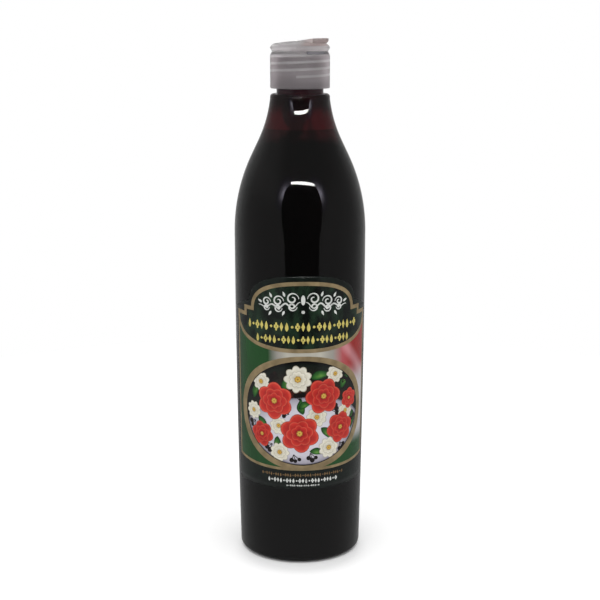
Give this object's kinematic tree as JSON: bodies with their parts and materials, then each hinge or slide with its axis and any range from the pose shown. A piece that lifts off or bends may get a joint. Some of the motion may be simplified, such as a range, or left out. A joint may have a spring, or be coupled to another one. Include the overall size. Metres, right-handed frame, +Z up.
{
  "type": "balsamic glaze bottle",
  "caption": "Tall clear plastic bottle of dark balsamic glaze with a long sloping shoulder, a translucent screwed-on flip-top cap and a wrapped front label.",
  "frame": {"origin": "middle of the standing ring, on the bottle's axis, at the height of the surface it stands on", "axes": "+Z up the bottle's axis to the cap; -Y out through the middle of the label; +X to the right as the label is read"},
  "size_m": [0.061, 0.0612, 0.2417],
  "materials": {
    "clear_plastic": "clear, glossy blown plastic",
    "glaze": "near-black, dark red where thin",
    "cap_plastic": "translucent natural plastic, satin",
    "label_film": "glossy printed film, dark green with gold frames and red, white and green fields"
  },
  "bodies": {
    "bottle": {"bottle": "clear_plastic", "glaze": "glaze", "cap_base": "cap_plastic", "hinge_strap": "cap_plastic", "label": "label_film"},
    "lid": {"lid": "cap_plastic"}
  },
  "joints": [
    {"name": "lid_hinge", "type": "hinge", "parent": "bottle", "child": "lid", "pos_m": [-0.00896, 0.00928, 0.23585], "axis": [-0.7193, -0.6947, 0], "range_deg": [0, 150], "deforming": ["hinge_strap"]}
  ]
}
